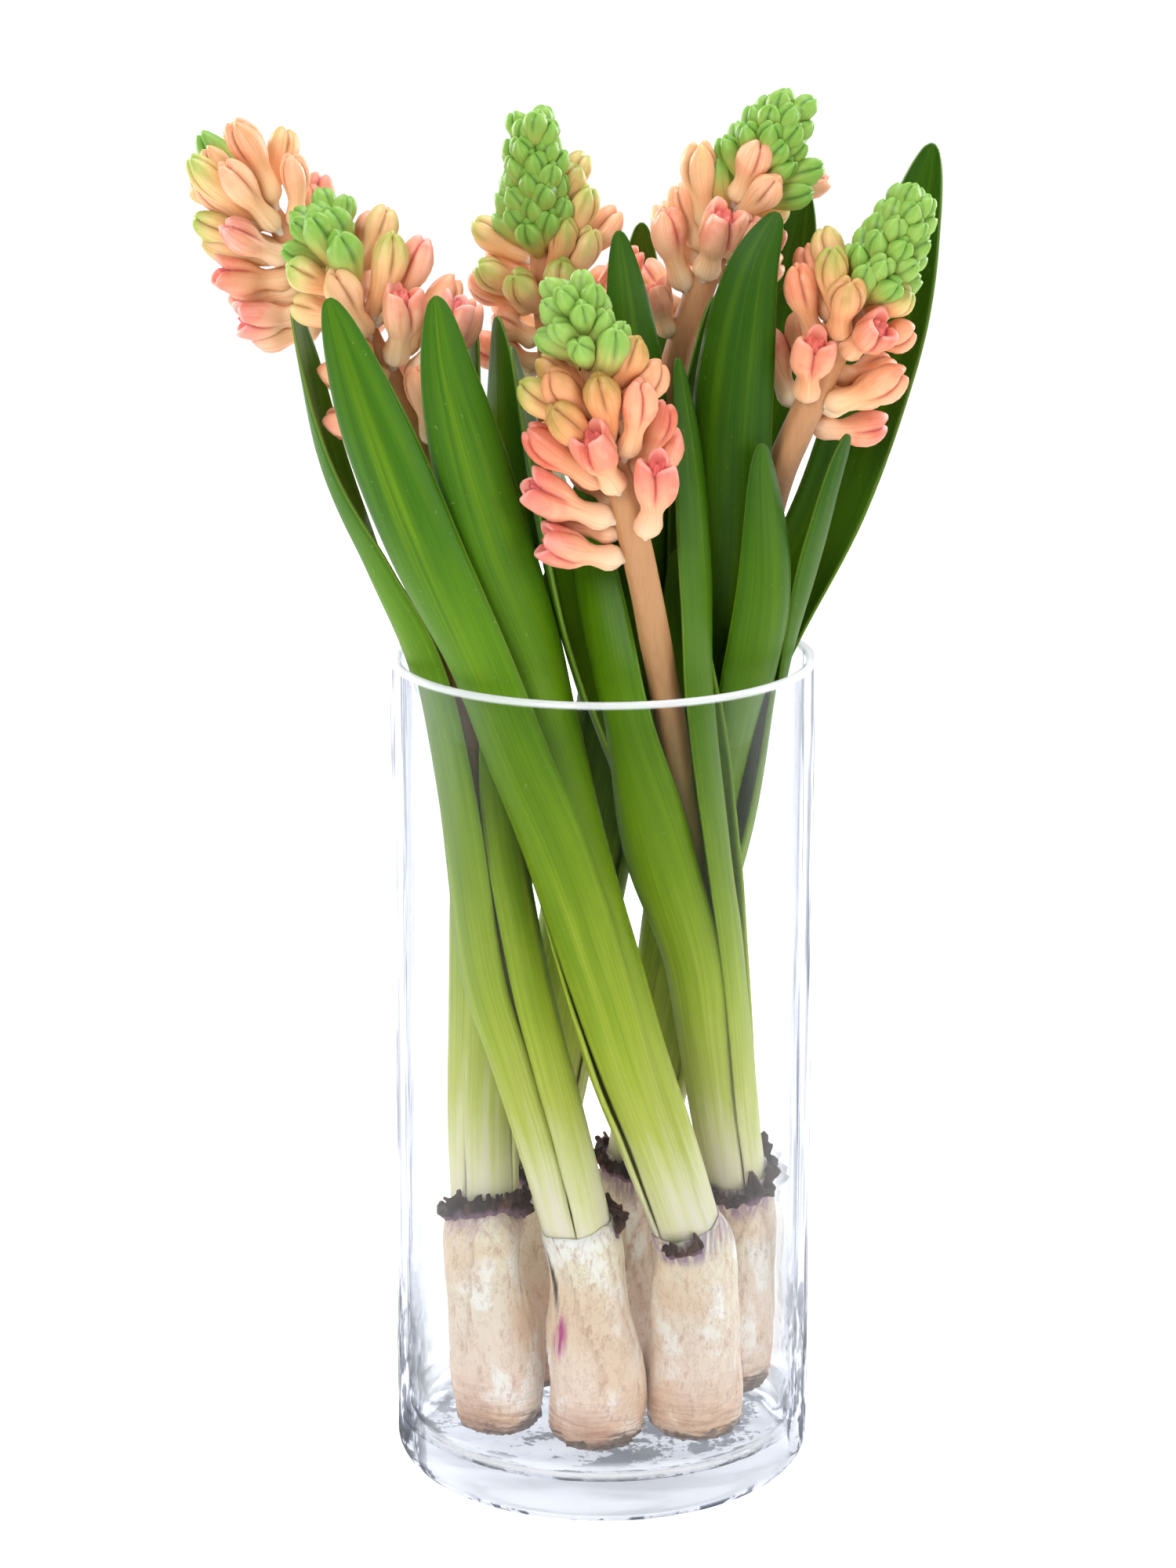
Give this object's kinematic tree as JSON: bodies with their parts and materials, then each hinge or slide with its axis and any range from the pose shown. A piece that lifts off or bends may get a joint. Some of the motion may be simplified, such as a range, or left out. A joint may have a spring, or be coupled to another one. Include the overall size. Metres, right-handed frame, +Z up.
{
  "type": "hyacinth flower",
  "caption": "Hyacinths with salmon florets and green upper buds, on peeled bulbs, standing in a tall clear glass cylinder vase without water.",
  "frame": {"origin": "centre of the vase's flat underside", "axes": "+Z up along the vase's axis, -Y towards the side seen in the picture, +X to its right"},
  "size_m": [0.2139, 0.1274, 0.3978],
  "materials": {
    "glass": "clear polished glass",
    "bulb": "peeled fleshy bulb scale, cream, satin",
    "dry_skin": "dry papery brown skin, matte",
    "leaf": "fleshy green leaf, waxy gloss",
    "stalk": "fleshy tan flower stalk, satin",
    "florets": "salmon petals, soft satin",
    "buds": "closed green buds, satin"
  },
  "bodies": {
    "root": {"vase": "glass", "bulb_1": "bulb", "skin_1": "dry_skin", "stalk_1": "stalk", "florets_1": "florets", "buds_1": "buds", "leaf_1_1": "leaf", "leaf_1_2": "leaf", "leaf_1_3": "leaf", "leaf_1_4": "leaf", "bulb_2": "bulb", "skin_2": "dry_skin", "stalk_2": "stalk", "florets_2": "florets", "buds_2": "buds", "leaf_2_1": "leaf", "leaf_2_2": "leaf", "leaf_2_3": "leaf", "bulb_3": "bulb", "skin_3": "dry_skin", "stalk_3": "stalk", "florets_3": "florets", "buds_3": "buds", "leaf_3_1": "leaf", "leaf_3_2": "leaf", "leaf_3_3": "leaf", "leaf_3_4": "leaf", "bulb_4": "bulb", "skin_4": "dry_skin", "stalk_4": "stalk", "florets_4": "florets", "buds_4": "buds", "leaf_4_1": "leaf", "leaf_4_2": "leaf", "leaf_4_3": "leaf", "leaf_4_4": "leaf", "bulb_5": "bulb", "skin_5": "dry_skin", "stalk_5": "stalk", "florets_5": "florets", "buds_5": "buds", "leaf_5_1": "leaf", "leaf_5_2": "leaf", "leaf_5_3": "leaf", "leaf_5_4": "leaf", "bulb_6": "bulb", "skin_6": "dry_skin", "stalk_6": "stalk", "florets_6": "florets", "buds_6": "buds", "leaf_6_1": "leaf", "leaf_6_2": "leaf", "leaf_6_3": "leaf", "leaf_6_4": "leaf", "leaf_6_5": "leaf"}
  },
  "joints": []
}
